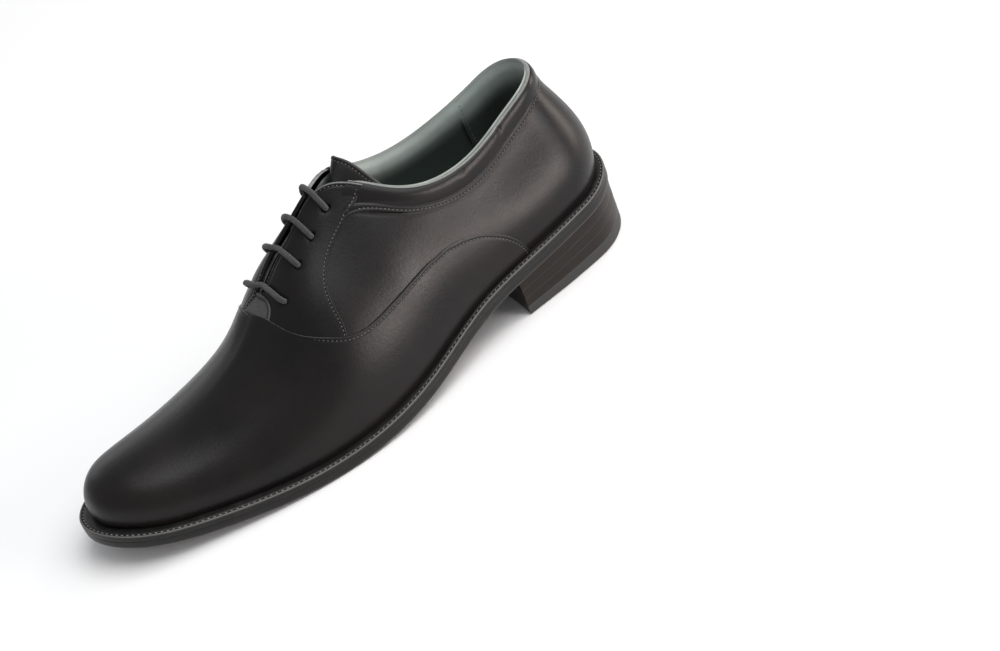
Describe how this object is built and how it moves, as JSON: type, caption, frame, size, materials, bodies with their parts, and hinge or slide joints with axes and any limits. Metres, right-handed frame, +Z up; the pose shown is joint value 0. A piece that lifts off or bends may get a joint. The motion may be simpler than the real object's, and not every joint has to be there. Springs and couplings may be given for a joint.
{
  "type": "oxford dress shoe",
  "caption": "Black leather men's oxford dress shoe, left foot, with closed lacing, stitched welt, stacked leather heel and padded collar",
  "frame": {"origin": "Middle of the shoe's plan at floor level, directly below the waist of the sole", "axes": "+X is the outer side of the left foot, +Y points from the toe to the heel, +Z is up"},
  "size_m": [0.1058, 0.312, 0.107],
  "materials": {
    "black_calf": "smooth polished calf, black",
    "lining_leather": "matt lining calf, dark green-grey",
    "sole_edge": "leather with a satin black edge",
    "heel_leather": "leather lifts with a satin black-brown edge",
    "heel_rubber": "matt black rubber",
    "natural_leather": "undyed vegetable-tanned leather",
    "lace_cotton": "round waxed cotton, black",
    "aglet_plastic": "black plastic film",
    "eyelet_metal": "oxidised brass, hidden between the layers",
    "foam": "open-cell foam, hidden in the collar",
    "counter_board": "leather board, hidden",
    "puff_board": "stiffened textile, hidden",
    "cork": "cork and resin mix, hidden",
    "steel": "plain spring steel, hidden"
  },
  "bodies": {
    "shoe": {"vamp": "black_calf", "quarter_lateral": "black_calf", "quarter_medial": "black_calf", "facing_lateral": "black_calf", "facing_medial": "black_calf", "collar": "black_calf", "collar_foam": "foam", "throat_tab": "black_calf", "eyelet_lateral_1": "eyelet_metal", "eyelet_lateral_2": "eyelet_metal", "eyelet_lateral_3": "eyelet_metal", "eyelet_lateral_4": "eyelet_metal", "eyelet_medial_1": "eyelet_metal", "eyelet_medial_2": "eyelet_metal", "eyelet_medial_3": "eyelet_metal", "eyelet_medial_4": "eyelet_metal", "lace": "lace_cotton", "aglet_1": "aglet_plastic", "aglet_2": "aglet_plastic", "vamp_lining": "lining_leather", "lining_lateral": "lining_leather", "lining_medial": "lining_leather", "heel_lining": "lining_leather", "heel_counter": "counter_board", "toe_puff": "puff_board", "heel_sock": "lining_leather", "insole": "natural_leather", "heel_seat": "natural_leather", "cork_filler": "cork", "shank": "steel", "welt": "sole_edge", "outsole": "sole_edge", "heel_lift_1": "heel_leather", "heel_lift_2": "heel_leather", "heel_lift_3": "heel_leather", "top_piece": "heel_rubber"},
    "tongue": {"tongue": "black_calf"}
  },
  "joints": [
    {"name": "tongue_hinge", "type": "hinge", "parent": "shoe", "child": "tongue", "pos_m": [-0.00359, -0.03901, 0.05882], "axis": [-1, 0, 0], "range_deg": [0, 20], "stiffness_Nm_per_rad": 0.05, "springref_deg": -5.73}
  ]
}
